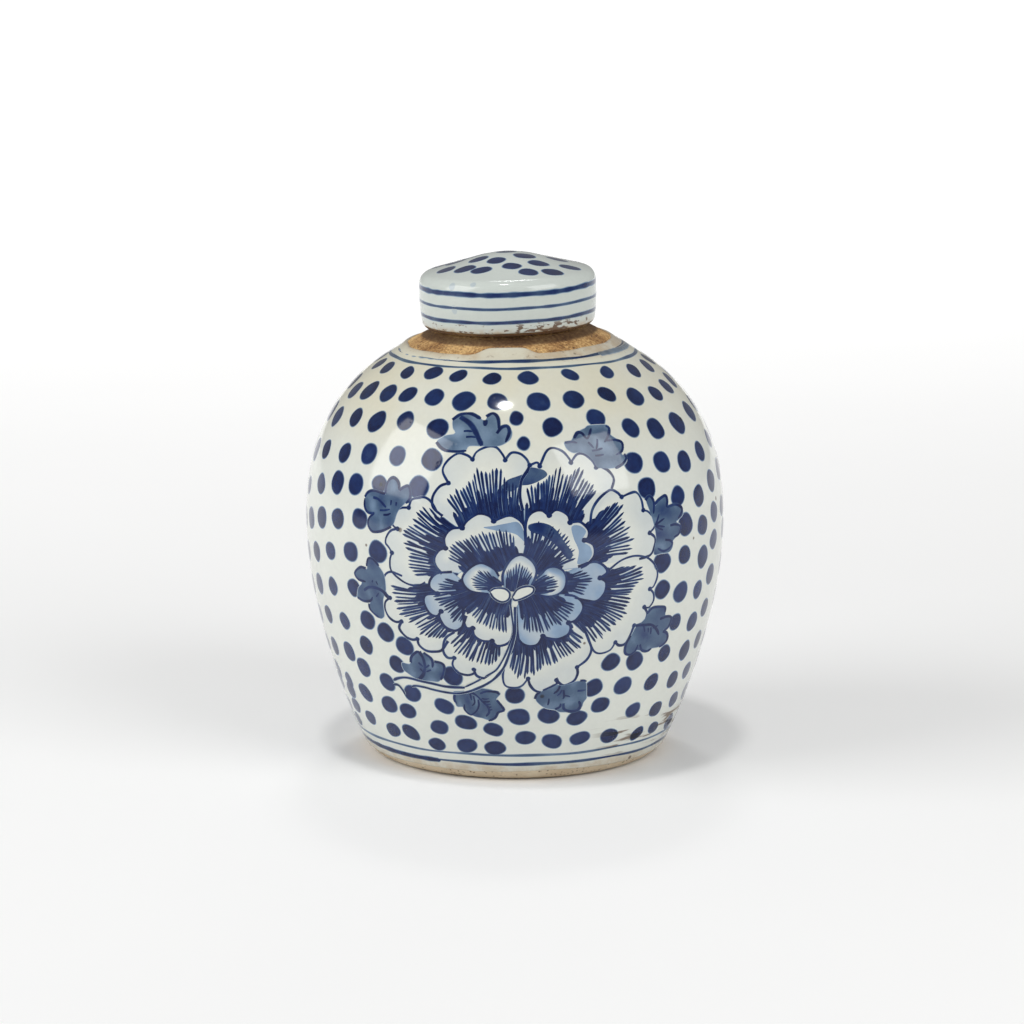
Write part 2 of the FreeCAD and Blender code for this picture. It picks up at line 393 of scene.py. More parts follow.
class Nodes:
    """Short names for the shader nodes that the finishes share."""

    def __init__(self, name):
        self.material = bpy.data.materials.new(name)
        self.material.use_nodes = True
        self.tree = self.material.node_tree
        self.shader = self.tree.nodes["Principled BSDF"]
        self.where = self.add("ShaderNodeTexCoord", {}).outputs["Object"]

    def add(self, kind, inputs, **settings):
        node = self.tree.nodes.new(kind)
        for key, value in settings.items():
            setattr(node, key, value)
        for key, value in inputs.items():
            self.put(node.inputs[key], value)
        return node

    def put(self, socket, value):
        if isinstance(value, bpy.types.NodeSocket):
            self.tree.links.new(value, socket)
        else:
            socket.default_value = value

    def noise(self, size_mm, detail=3.0, rough=0.5, squash=None):
        """Cloudy values about size_mm across, flattened into streaks by squash."""
        where = self.where
        if squash:
            where = self.add("ShaderNodeMapping", {"Vector": where, "Scale": (1.0, 1.0, squash)}).outputs[0]
        inputs = {"Vector": where, "Scale": 1000.0 / size_mm, "Detail": detail, "Roughness": rough}
        return self.add("ShaderNodeTexNoise", inputs).outputs[0]

    def cells(self, per_metre):
        """Distance to the nearest of many scattered points."""
        inputs = {"Vector": self.where, "Scale": per_metre}
        return self.add("ShaderNodeTexVoronoi", inputs).outputs["Distance"]

    def math(self, kind, a, b=0.0):
        return self.add("ShaderNodeMath", {0: a, 1: b}, operation=kind).outputs[0]

    def vector(self, kind, a, b=(0.0, 0.0, 0.0)):
        return self.add("ShaderNodeVectorMath", {0: a, 1: b}, operation=kind).outputs

    def both(self, *masks):
        """Where every mask is."""
        return functools.reduce(lambda a, b: self.math("MULTIPLY", a, b), masks)

    def either(self, *masks):
        """Where any mask is."""
        return functools.reduce(lambda a, b: self.math("MAXIMUM", a, b), masks)

    def band(self, value, low, high, start=0.0, end=1.0):
        """Goes smoothly from start to end while value goes from low to high."""
        inputs = {"Value": value, "From Min": low, "From Max": high, "To Min": start, "To Max": end}
        return self.add("ShaderNodeMapRange", inputs, interpolation_type="SMOOTHSTEP").outputs[0]

    def band_mm(self, length, low, high, start=0.0, end=1.0):
        """The same for a length in metres, between two lengths in mm."""
        return self.band(length, low * MM, high * MM, start, end)

    def mix(self, amount, a, b, blend="MIX"):
        inputs = {MIX_FACTOR: amount, MIX_A: a, MIX_B: b}
        return self.add("ShaderNodeMix", inputs, data_type="RGBA", blend_type=blend).outputs[MIX_RESULT]

    def ramp(self, value, stops):
        node = self.add("ShaderNodeValToRGB", {"Fac": value})
        ramp = node.color_ramp
        while len(ramp.elements) < len(stops):
            ramp.elements.new(0.5)
        for element, (place, colour) in zip(ramp.elements, stops):
            element.position, element.color = place, (*colour, 1.0)
        return node.outputs[0]

    def finish(self, colour, roughness, heights):
        """heights are pairs of a texture and how many mm of relief it gives."""
        self.put(self.shader.inputs["Base Color"], colour)
        self.put(self.shader.inputs["Roughness"], roughness)
        normal = None
        for texture, relief in heights:
            inputs = {"Height": texture, "Strength": 1.0, "Distance": relief * MM}
            if normal:
                inputs["Normal"] = normal
            normal = self.add("ShaderNodeBump", inputs).outputs[0]
        self.put(self.shader.inputs["Normal"], normal)
        return self.material


WHITE = (0.70, 0.722, 0.665, 1)
LID_WHITE = (0.585, 0.63, 0.59, 1)
CREAM = (0.66, 0.635, 0.50, 1)
TAN = (0.50, 0.40, 0.27, 1)
RUST = (0.115, 0.054, 0.022, 1)
INK = ((0.0, (1.0, 1.0, 1.0)), (0.3, (0.36, 0.5, 0.77)), (0.6, (0.095, 0.165, 0.31)),
       (0.85, (0.008, 0.034, 0.18)), (1.0, (0.001, 0.01, 0.085)))

TOASTED = ((0.38, (0.14, 0.058, 0.018)), (0.49, (0.42, 0.23, 0.082)), (0.60, (0.74, 0.49, 0.21)))
BUFF = ((0.3, (0.52, 0.40, 0.26)), (0.7, (0.68, 0.58, 0.43)))
# The last colour is the dark brown of the stain and painted contact shadow round the lid's seat.
IRON, GRIT, SEAT_STAIN_AND_SHADOW = (0.10, 0.06, 0.035, 1), (0.10, 0.055, 0.03, 1), (0.05, 0.022, 0.01, 1)
GLAZE_IOR = 1.5
IRON_SPECKS = ((28.2, -36), (-62.5, -0.8), (81, -1))


def glaze_finish():
    """Clear, faintly grey-blue glaze over white slip, with cobalt wherever the ink attribute says."""
    nodes = Nodes("glaze")
    right, back, height = nodes.add("ShaderNodeSeparateXYZ", {0: nodes.where}).outputs
    flat = nodes.add("ShaderNodeCombineXYZ", {0: right, 1: back, 2: 0.0}).outputs[0]
    radius = nodes.vector("LENGTH", flat)["Value"]
    tilt = nodes.math("MULTIPLY", right, math.tan(math.radians(LID_TILT)))
    level = nodes.math("SUBTRACT", height, tilt)
    on_lid = nodes.band_mm(height, 166.0, 166.8)
    patchy, fine = nodes.noise(38.0, 4.0), nodes.noise(2.2, 4.0, 0.6)
    rust, flecks = nodes.noise(7.0, 5.0, 0.65), nodes.noise(2.6, 5.0, 0.7)

    # White, a little greyer on the lid and creamier in patches on the shoulder.
    shoulder = nodes.both(nodes.band_mm(height, 115, 152), nodes.band(patchy, 0.3, 0.65, 0.4, 1.0),
                          nodes.band_mm(height, 168, 166))
    colour = nodes.mix(shoulder, nodes.mix(on_lid, WHITE, LID_WHITE), CREAM)
    shade = nodes.math("ADD", nodes.band(patchy, 0.3, 0.7, 0.975, 1.0),
                       nodes.band(fine, 0.35, 0.65, -0.012, 0.012))
    grey = nodes.add("ShaderNodeCombineColor", {0: shade, 1: shade, 2: shade}).outputs[0]
    colour = nodes.mix(1.0, colour, grey, "MULTIPLY")

    # Tan where the glaze is thin: its edge on the collar, least on the tongue, the foot and the lid's rim.
    tongue = nodes.both(nodes.band_mm(right, -17, -11), nodes.band_mm(right, 7, 2),
                        nodes.band_mm(back, 0, -10))
    ridge = nodes.both(nodes.band_mm(radius, 45.5, 41.5), nodes.band_mm(height, 167, 163),
                       nodes.band_mm(height, 150, 155), nodes.band(tongue, 0.0, 1.0, 1.0, 0.35))
    thin_ridge = nodes.both(ridge, nodes.band(rust, 0.3, 0.6, 0.35, 0.9))
    thin_foot = nodes.both(nodes.band_mm(height, 8.5, 5.5), nodes.band(rust, 0.35, 0.65, 0.3, 0.8))
    thin_rim = nodes.both(nodes.band_mm(level, 172.8, 169.8), on_lid, nodes.band(rust, 0.4, 0.6, 0.0, 0.9))
    colour = nodes.mix(nodes.either(thin_ridge, thin_foot, thin_rim), colour, TAN)

    # Brown stains: flecks on the ridge, brush marks and a line on the lid's rim, a smear low on the right.
    specked = nodes.both(ridge, nodes.band(flecks, 0.58, 0.66, 0.0, 0.8))
    more = nodes.both(nodes.band_mm(right, -6, 6, 0.0, 0.11), nodes.band_mm(right, 32, 16))
    brushed = nodes.math("ADD", nodes.noise(10 / 3, 6.0, squash=2.6), more)
    marks = nodes.both(nodes.band_mm(level, 175.5, 172.2), on_lid, nodes.band(brushed, 0.605, 0.65, 0.0, 0.9))
    hem = nodes.both(nodes.band_mm(level, 170.4, 169.3), on_lid, nodes.band(rust, 0.3, 0.6, 0.45, 0.9))
    streaks = nodes.noise(50 / 3, 6.0, squash=9.0)
    smear = nodes.both(nodes.band_mm(height, 27, 20), nodes.band_mm(height, 6, 11),
                       nodes.band_mm(right, 27, 40), nodes.band(streaks, 0.53, 0.61, 0.0, 0.8))
    stain = nodes.either(specked, marks, hem, smear)
    colour = nodes.mix(stain, colour, RUST)

    # Iron specks, a few scattered ones and those listed in IRON_SPECKS.
    specks = nodes.both(nodes.band(nodes.cells(62.0), 0.075, 0.035),
                        nodes.band(nodes.noise(30.0, 2.0), 0.56, 0.60))
    for around, up in IRON_SPECKS:
        speck = jar_place(around * np.ones(1), up * np.ones(1), 0)[0]
        away = nodes.vector("DISTANCE", nodes.where, tuple(speck))["Value"]
        specks = nodes.either(specks, nodes.band_mm(away, 0.75, 0.35))
    colour = nodes.mix(nodes.math("MULTIPLY", specks, 0.8), colour, IRON)

    ink = nodes.add("ShaderNodeAttribute", {}, attribute_name="ink").outputs["Fac"]
    ink = nodes.math("MULTIPLY", ink, nodes.band(nodes.noise(5.0, 5.0, 0.65), 0.3, 0.7, 0.93, 1.06))
    colour = nodes.mix(1.0, colour, nodes.ramp(ink, INK), "MULTIPLY")
    dull = nodes.math("MULTIPLY", stain, 0.6)
    roughness = nodes.math("ADD", nodes.band(patchy, 0.3, 0.7, 0.07, 0.12), dull)
    nodes.put(nodes.shader.inputs["IOR"], GLAZE_IOR)
    pits = nodes.band(nodes.cells(260.0), 0.10, 0.20, 0.0, 1.0)
    return nodes.finish(colour, roughness, [(nodes.noise(9.0, 2.0), 0.025), (pits, 0.01)])


def clay_finish():
    """Bare stoneware, toasted brown, paler where the foot was wiped, and dark round where the lid's rim
    rests: a brown stain there with painted contact shadow under the rim.
    """
    nodes = Nodes("clay")
    height = nodes.add("ShaderNodeSeparateXYZ", {0: nodes.where}).outputs[2]
    broad, grit = nodes.noise(16.0, 5.0, 0.6), nodes.noise(1.1, 5.0, 0.7)
    mottled = nodes.math("ADD", nodes.math("MULTIPLY", broad, 0.45), nodes.math("MULTIPLY", grit, 0.55))
    toasted = nodes.ramp(mottled, TOASTED)
    buff = nodes.ramp(broad, BUFF)
    colour = nodes.mix(nodes.band_mm(height, 12, 6), toasted, buff)
    specks = nodes.both(nodes.band(nodes.cells(620.0), 0.34, 0.16), nodes.band(nodes.noise(3.0), 0.44, 0.54))
    colour = nodes.mix(nodes.math("MULTIPLY", specks, 0.75), colour, GRIT)
    # Painted contact shadow, partly a real brown stain: the clay darkens in a ring just outside where the
    # lid's rim rests.
    from_lid = nodes.vector("ADD", nodes.where, (-LID_SHIFT * MM, 0.0, -RIM_HEIGHT * MM))[0]
    away = nodes.vector("LENGTH", from_lid)["Value"]
    seat_stain_and_shadow = nodes.both(nodes.band_mm(away, 35.2, 33.7), nodes.band_mm(away, 29, 31, 0.0, 0.75))
    colour = nodes.mix(seat_stain_and_shadow, colour, SEAT_STAIN_AND_SHADOW)
    roughness = nodes.band(grit, 0.3, 0.7, 0.72, 0.92)
    return nodes.finish(colour, roughness, [(grit, 0.25), (nodes.noise(4.5, 3.0), 0.3)])


def lining_finish():
    """The washed glaze inside, thinner and greyer than outside."""
    nodes = Nodes("lining")
    patchy = nodes.noise(22.0, 4.0)
    colour = nodes.ramp(patchy, ((0.3, (0.42, 0.37, 0.27)), (0.7, (0.58, 0.57, 0.48))))
    return nodes.finish(colour, nodes.band(patchy, 0.3, 0.7, 0.16, 0.3), [(nodes.noise(6.0), 0.06)])


glaze, clay, lining = glaze_finish(), clay_finish(), lining_finish()
for name, finish in (("jar_body", clay), ("lid_body", clay), ("jar_lining", lining)):
    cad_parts[name].material_slots[0].material = finish


# ---------------------------------------------------------------- glaze coats

def coat(name, place, top, foot, top_edge, foot_edge, body, pitch=1.4, segments=480, crown=False):
    """A glaze skin between two ragged edges.  Each edge is a list of (distance in from it, lift)."""
    angle = np.arange(segments) / segments * TAU
    upper = np.broadcast_to(top(angle), angle.shape)
    lower = np.broadcast_to(foot(angle), angle.shape)
    inner_top, inner_foot = top_edge[-1][0], foot_edge[-1][0]
    middle = max(4, int((upper.mean() - lower.mean() - inner_top - inner_foot) / pitch))
    rows = [(lower + step, lift) for step, lift in foot_edge]
    for k in range(1, middle):
        share = k / middle
        rows.append(((lower + inner_foot) * (1 - share) + (upper - inner_top) * share, 0.0))
    rows += [(upper - step, lift) for step, lift in reversed(top_edge)]
    points = [place(angle, run, lift) for run, lift in rows]
    faces = []
    for r in range(len(rows) - 1):
        for k in range(segments):
            after = (k + 1) % segments
            row, above = r * segments, (r + 1) * segments
            faces.append((row + k, row + after, above + after, above + k))
    points = np.concatenate(points)
    if crown:
        last = (len(rows) - 1) * segments
        points = np.vstack([points, points[last:].mean(0)])
        faces += [(last + k, last + (k + 1) % segments, last + segments) for k in range(segments)]
    return mesh_piece(name, points, faces, body, glaze)


def collar_edge(angle):
    """Where the jar's glaze stops short of the lid: an uneven ring with one tongue at the front."""
    degrees = (np.degrees(angle) + 180) % 360 - 180
    radius = LID_SHIFT * np.sin(angle) + np.sqrt(BARE_RADIUS ** 2 - (LID_SHIFT * np.cos(angle)) ** 2)
    radius -= 4.2 * np.exp(-((degrees + 5) / 15) ** 6)
    radius += 0.2 * np.sin(5 * angle + 1) + 0.13 * np.sin(11 * angle + 2) + 0.08 * np.sin(23 * angle)
    top = JAR.run > 0
    return np.interp(radius, JAR.radius[top][::-1], JAR.run[top][::-1])


def foot_edge(angle):
    uneven = 0.35 * np.sin(3 * angle + 0.5) + 0.2 * np.sin(7 * angle)
    return JAR.run_at_height(GLAZE_FOOT_HEIGHT) + uneven


def lid_foot_edge(angle):
    return LID.run_at_height(0.5 * LID_GLAZE_START) + 0.12 * np.sin(4 * angle) + 0.1 * np.sin(9 * angle + 1)


# Distance in from the glaze's edge, and lift there, for an edge that rolled up thick and one that was wiped.
ROLLED = ((0, -0.6), (0.25, -0.15), (0.6, 0.14), (1.0, 0.24), (1.6, 0.26), (2.3, 0.2), (3.2, 0.1),
          (4.2, 0.03), (5.5, 0))
WIPED = ((0, -0.55), (0.3, -0.15), (0.7, 0.0), (1.3, 0.0))

jar_coat = coat("jar_coat", lambda angle, run, lift: jar_place(angle * BELLY_RADIUS, run, lift), collar_edge,
                foot_edge, ROLLED, WIPED, "jar")
lid_coat = coat("lid_coat", lid_point, lambda angle: LID.run[-1] - 0.5, lid_foot_edge, ((0, 0),),
                ((0, -0.42), (0.3, -0.08), (0.8, 0.0)), "lid", pitch=0.7, segments=300, crown=True)
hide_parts("jar_glaze")
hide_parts("lid_glaze")


# ---------------------------------------------------------------- the painting on the jar

LEVEL = 0.055

DOT_ROWS = (
    (12.0, 7.0,
     ((-116, 70), (-98, 70.5), (-74, 71), (-54, 73), (-35.5, 72.7), (-13.7, 72), (8, 72.5), (35, 73.3),
      (62, 72.5), (86, 70.7), (108, 70.3))),
    (11.0, 8.0,
     ((-109, 56), (-92.5, 58.5), (-75, 59.7), (-60.5, 60.7), (-43.5, 61), (-26.5, 60.3), (-9, 60.5),
      (12, 60.3), (30.7, 60.7), (51, 61.7), (68.5, 58.7), (86, 58), (103, 59), (118, 60))),
    (10.0, 8.6,
     ((-107, 43.7), (-87.5, 46.5), (-70.7, 47), (-53.7, 49.3), (-35.7, 47.5), (17, 49), (39, 51.5),
      (55.5, 46), (70, 44), (87.7, 44), (107.7, 46))),
    (9.0, 8.3,
     ((-117, 27.7), (-101.7, 30.5), (-83.7, 32), (-67.5, 34), (-51.7, 35), (-35, 35), (51.3, 32.3),
      (66.5, 30.8), (81, 29), (97, 30.5), (116, 32.5))),
    (8.6, 8.0,
     ((-116, 13.5), (-98, 17.3), (-83.5, 20.3), (-71, 21.5), (-57.8, 23.3), (-39, 24), (55.5, 22),
      (72, 16.7), (86.8, 14.5), (101, 18), (116.7, 19.7))),
    (8.6, 7.8,
     ((-107.5, 2), (-94, 4.8), (-80.5, 6.7), (-66.5, 8.8), (75.5, 5.2), (88.3, 2.8), (100.7, 5.8),
      (115, 5.5))),
    (8.3, 7.8,
     ((-116.7, -12.8), (-100.8, -10), (-86.3, -7), (-71.7, -4.8), (-56.5, -2.5), (61.8, -7.3),
      (75, -6.5), (89.3, -9.8), (100, -5))),
    (8.2, 7.8,
     ((-116.7, -26.5), (-102, -23.2), (-87, -21.3), (-71.3, -19), (62.8, -18.3), (74.3, -21.2),
      (87.5, -22.7), (99, -18.7))),
    (8.2, 7.6,
     ((-114, -37.8), (-97.3, -34.8), (-81.7, -34.5), (-65.3, -31.2), (-56, -34.8), (-47.2, -39.3),
      (73.7, -33.3), (87.7, -35.8), (99, -32.3))),
    (8.2, 7.4,
     ((-99.7, -48.7), (-83.8, -47.7), (-74.8, -52.8), (-69.2, -42.3), (-52.8, -47.8), (-26.5, -50),
      (41.2, -45.3), (53.3, -46.3), (70.5, -45.8), (87, -47.8), (100.3, -45.8), (115, -48))),
    (8.4, 7.2,
     ((-107.5, -60), (-93.7, -62), (-60.7, -56.7), (-47.5, -59.8), (0, -57.3), (34.5, -55.7),
      (49.5, -56.5), (66.3, -57.5), (83, -59.5), (96.7, -58.3))),
    (10.4, 7.4,
     ((-79.5, -64.7), (-63.2, -67), (-52.3, -68.2), (-32.2, -63.7), (1.8, -67), (15.2, -66.8),
      (28.8, -68.7), (39.5, -63.8), (59, -68.7), (76, -71.2), (92, -70), (108.3, -69.5))),
    (11.0, 7.2, ((-96.7, -73.7), (-83, -76.5), (-36.5, -73.7), (-22.8, -70.3), (-10, -73), (5, -76.7))),
    (10.8, 6.8,
     ((-103.3, -81), (-66, -79), (-54, -78.3), (-39.8, -82), (-23.7, -81.2), (-9.7, -81.7),
      (18, -78.8), (32, -78.3), (48.3, -79), (67, -80.7), (80, -80.3), (98.3, -81.2))),
)
# Dots below LOW_DOTS are painted smaller.  No row ends before LAST_IN_FRONT.
LOW_DOTS, LAST_IN_FRONT = -62, 104
SMALL_DOTS = ((0.7, 53, 6.4), (3.7, 42.5, 5.6))


def paint_dots():
    """The rows of dots; each row goes on round the back, from its last dot in front to its first."""
    paint = Paint("paint_dots", jar_place, jar_stretch)
    rng = random.Random(11)
    for wide, high, places in DOT_ROWS:
        for around, up in places:
            size = rng.uniform(0.9, 1.12) * (0.9 if up < LOW_DOTS else 1.0)
            paint.dot(around, up, wide * size, high * size * rng.uniform(0.95, 1.04), rng.uniform(0.9, 1.0))
    for around, up, size in SMALL_DOTS:
        paint.dot(around, up, size, size)
    for wide, high, places in DOT_ROWS:
        first, up = places[0]
        first += TAU * BELLY_RADIUS
        last, last_up = places[-1]
        last = max(last, LAST_IN_FRONT)
        pitch = 12.2 * float(jar_stretch(up)) ** 0.5 + 2.4
        number = round((first - last) / pitch)
        for k in range(1, number):
            share = k / number
            size = rng.uniform(0.9, 1.1)
            paint.dot(last + (first - last) * share + rng.uniform(-1.2, 1.2),
                      last_up + (up - last_up) * share + 1.5 * math.sin(k * 0.9) + rng.uniform(-1.1, 1.1),
                      wide * size, high * size, rng.uniform(0.9, 1.0))
    paint.build("jar", glaze)


def ring_line(paint, up, width, ink=0.8, lift=0.03):
    """A line drawn round the turning jar in one go; up is its height for an angle from the front."""
    angle = np.linspace(0, TAU, 400)
    waves = 0.12 * np.sin(7 * angle + width * 9) + 0.1 * np.sin(13 * angle + width * 31)
    places = np.stack([angle * BELLY_RADIUS, up(angle) + waves], -1)
    thick = width * (1 + 0.18 * np.sin(5 * angle + width) + 0.12 * np.sin(17 * angle))
    wet = ink * (1 + 0.10 * np.sin(9 * angle + 2) + 0.06 * np.sin(23 * angle))
    n = len(angle)
    rows = ((-0.65, -SUNK, 0), (-0.4, 0, 1), (0.4, 0, 1), (0.65, -SUNK, 0))
    all_places = [places + np.stack([0 * thick, share * thick], -1) for share, _, _ in rows]
    lifts = [np.full(n, lift + rise) for _, rise, _ in rows]
    inks = [wet * strength for _, _, strength in rows]
    faces = [(r * n + k, r * n + k + 1, (r + 1) * n + k + 1, (r + 1) * n + k)
             for r in range(3) for k in range(n - 1)]
    paint.add(np.vstack(all_places), np.concatenate(lifts), np.concatenate(inks), faces)


def paint_rings():
    paint = Paint("paint_rings", jar_place, jar_stretch)
    ring_line(paint, lambda a: 76.35 + 0.65 * np.sin(a) + 1.45 * np.cos(a), 1.2, 0.66)
    ring_line(paint, lambda a: 81.5 + 1.5 * np.sin(a) + 0.2 * np.cos(a), 1.5, 0.76)
    ring_line(paint, lambda a: -85.2 + 0.2 * np.sin(a), 1.0, 0.6)
    ring_line(paint, lambda a: -89.7 + 0.3 * np.cos(a), 1.2, 0.75)
    doubled = ((-128, -88.6), (-105, -89.2), (-80, -89.6), (-58, -89.8), (-40, -89.7))
    paint.stroke(doubled, 1.9, 0.9, lift=0.045)
    paint.stroke(((-120, 80.6), (-98, 80.6), (-74, 81.0), (-48, 81.8)), 2.4, 0.5, lift=0.045, ends=(0.1, 0.1))
    paint.stroke(((70, 82.6), (90, 82.6), (112, 82.0), (140, 81.2)), 2.4, 0.45, lift=0.045, ends=(0.1, 0.1))
    paint.build("jar", glaze)


def petal_tone(base, tips, strength, margin):
    """Pale wash under the hatching that fades to white towards the rim; margin is how much is left there."""
    def tone(places):
        near = distance(places, base)
        share = near / (near + distance(places, tips) + 1e-6)
        beyond = (1 - margin) * np.clip((share - 0.72) / 0.28, 0, 1)
        return strength * (1 - beyond) * (0.9 + 0.2 * waver(places, 5, 14.0))
    return tone


def wash_tone(tone):
    return lambda places: tone * (1 + 0.1 * waver(places, 3, 8.0))


def petal(paint, level, base, tips, lobes, strength, heart, pitch, hatch=0.8, root=1.0, margin=0.0,
          washes=()):
    """A petal: white ground, wash and fanned hatching from its base, and a rim of lobes joined at dots.

    base, tips and lobes all run the same way round the flower.  The hatching springs from nearer the heart,
    under the petals that lie on top.
    """
    lift = 0.03 + LEVEL * level
    ground, fade = (0.0, 0.15) if level == 0 else (0.8, 0.07)
    base_line, tip_line = curve(base), curve(tips)
    root_line = np.array(heart) + (base_line - heart) * 0.74
    outline = np.vstack([curve(lobe, 0.8) for lobe in lobes] + [base_line[::-1]])
    shades = petal_tone(base_line, tip_line, strength, margin)
    paint.fill(outline, shades, lift, rim=0.5 * ground, smooth=False)
    for tone, wash in washes:
        paint.fill(wash, wash_tone(tone), lift + (0.026 if tone > 0.6 else 0.008), rim=0.8 * tone)
    number = max(6, int(np.hypot(*np.diff(tip_line, axis=0).T).sum() / pitch))
    rng = random.Random(number * 13 + level)
    for k in range(number):
        share = (k + 0.5 + rng.uniform(-0.16, 0.16)) / number
        start, end = part_way(root_line, share), part_way(tip_line, share)
        end = start + (end - start) * rng.uniform(0.93, 1.05)
        fan = 0.16 * (share - 0.5) + rng.uniform(-0.025, 0.025)
        middle = 0.5 * (start + end) + np.array([-(end - start)[1], (end - start)[0]]) * fan
        paint.stroke((start, middle, end), hatch * rng.uniform(0.8, 1.3), rng.uniform(0.86, 1.0), strength,
                     lift + 0.02, ends=(1.9 * root, 0.22))
        half = start + (end - start) * rng.uniform(0.5, 0.72)
        paint.stroke((start, half), 1.5 * root, 0.96, strength, lift + 0.012, ends=(1.2, 0.2))
    for lobe in lobes:
        paint.stroke(lobe, rng.uniform(0.8, 1.1), rng.uniform(0.84, 0.97), ground, lift + 0.034,
                     ends=(1.2, 0.9), fade=fade)
    for lobe in lobes[1:]:
        paint.dot(lobe[0][0], lobe[0][1], 2.0, 1.8, 0.94, ground, lift + 0.036, soft=0.25)


OUTER_PETALS = (
    (((-26, 12), (-20, 10), (-14, 15.5), (-8, 13), (0, 15), (4, 18)),
     ((-27, 20), (-25, 22), (-20, 27), (-17, 30), (-14, 32.5), (-10, 32), (-5, 31.5), (-2, 28), (3, 27)),
     (((-28, 14), (-32, 17), (-32.5, 21), (-30, 25), (-26.5, 26.5)),
      ((-26.5, 26.5), (-29.5, 31), (-28, 35), (-24, 38), (-20, 37.5), (-17.5, 36)),
      ((-17.5, 36), (-16, 39), (-12, 41), (-8, 41), (-5, 38), (-4, 36)),
      ((-4, 36), (-2, 38.5), (0, 39), (3, 38), (5.5, 35), (5, 31)))),
    (((5, 16), (13, 15), (21, 12), (28, 10)),
     ((4, 25), (9, 27), (14, 31), (17, 32.5), (20, 31), (23, 31), (26, 31.5), (28, 30), (31, 27),
      (32, 22)),
     (((3, 17), (2, 22), (2.5, 28), (5, 32), (6, 34)), ((6, 34), (9, 35), (10, 33.5)),
      ((10, 33.5), (13, 39), (16, 40.5), (20, 39), (22.5, 36), (23, 34.5)),
      ((23, 34.5), (26, 37.5), (29, 37.5), (32, 35), (33.5, 32)),
      ((33.5, 32), (36, 32), (39, 30), (40.5, 27), (39, 23.5)))),
    (((28, 11), (30, 5), (31, 0), (32, -5)),
     ((33, 15), (38, 17.5), (43, 18), (42, 15), (44, 12), (45, 9), (46, 7), (46.5, 4), (47, 0.5),
      (46, -2)),
     (((29, 11), (30, 16), (33, 20), (38, 23), (41, 22), (43, 20)),
      ((43, 20), (47, 21), (50, 21), (52, 18), (52.5, 14)),
      ((52.5, 14), (55, 13), (57.5, 10), (57.5, 7), (55, 5)),
      ((55, 5), (57.5, 3), (57.5, 0), (55.5, -3.5), (50, -4.5)))),
    (((34, -7), (35, -12), (33, -18), (29, -24), (25, -28)),
     ((44, -6.5), (51, -8), (51, -14), (46.5, -18), (46.5, -21.5), (45, -25), (44, -28), (40, -30),
      (37.5, -34), (32, -36)),
     (((37, -7), (42, -4), (48, -3), (54, -4.5), (58, -8), (59.5, -12), (58, -16), (56, -17)),
      ((56, -17), (58, -19), (58.5, -22), (56.5, -24.5), (54, -24)),
      ((54, -24), (56, -27), (55, -30), (52, -31), (50, -31)),
      ((50, -31), (49, -34), (47, -38), (44, -38.5), (42, -37)),
      ((42, -37), (40, -40), (36, -41), (33, -40), (31, -37)))),
    (((24, -29), (20, -33), (12, -34.5), (5, -36.5), (-2, -36)),
     ((28.5, -34), (26.5, -37.5), (23, -41), (18, -42.5), (14, -44.5), (9, -47.5), (3, -50),
      (0.5, -48.5), (-2.5, -45)),
     (((25, -27), (28, -31), (30, -35), (31.5, -39), (30, -43), (26, -46)),
      ((26, -46), (26.5, -49), (25, -52), (21, -53.5), (18.5, -52), (17.5, -50)),
      ((17.5, -51), (17.5, -53), (13, -56), (9, -55.5), (6.5, -53), (5.5, -50)),
      ((5.5, -50), (3, -53), (0, -54), (-4, -53), (-5, -49), (-4, -43)))),
    (((-4, -36.5), (-8, -36), (-12, -34), (-17, -32), (-24, -30)),
     ((-6, -41), (-9, -43.5), (-13, -44), (-17, -43), (-20, -42), (-23, -40.5), (-25, -38.5),
      (-27, -36)),
     (((-2.5, -38), (-6, -44), (-10, -49)), ((-10, -49), (-13, -50), (-16, -49), (-17, -46.5)),
      ((-17, -46.5), (-17, -48), (-20, -49), (-24, -48), (-26, -45), (-25, -42)),
      ((-25, -42), (-28, -42), (-29.5, -39), (-28, -34), (-24, -31)))),
    (((-24, -31), (-28, -28), (-31, -24), (-34, -19), (-35, -13)),
     ((-29, -34), (-33.5, -35), (-37.5, -34), (-40.5, -32), (-44.5, -27.5), (-48.5, -24.5), (-50, -20),
      (-50, -14)),
     (((-27, -35), (-30, -39), (-33, -40), (-37, -40), (-40, -38), (-40.5, -35.5)),
      ((-40.5, -35.5), (-43, -36), (-46, -35), (-48.5, -32), (-47, -29)),
      ((-47, -29), (-50, -29.5), (-53, -28), (-54.5, -25), (-54, -22), (-51.5, -20)),
      ((-51.5, -20), (-53.5, -18), (-54, -14), (-53, -11), (-50, -9.5), (-45, -10.5)))),
    (((-33, -12), (-29, -6), (-31, 0), (-28, 4), (-26, 8), (-28, 14)),
     ((-39, -10), (-42, -6), (-42.5, -2), (-43.5, 2), (-44, 7), (-41, 9.5), (-39.5, 12), (-38, 15),
      (-34, 17.5)),
     (((-35, -12), (-38, -13.5), (-42, -13.5), (-46, -12), (-50, -9), (-50.5, -5), (-49.5, -2)),
      ((-49.5, -2), (-51, 0), (-52.5, 1.5), (-52, 4), (-50, 6.5), (-47, 7.5)),
      ((-47, 7.5), (-49, 8.5), (-50, 11), (-49, 13.5), (-46, 15.5), (-42.5, 16)),
      ((-42.5, 16), (-41.5, 19), (-39, 20), (-36, 20.5), (-33, 19), (-30, 15)))),
)

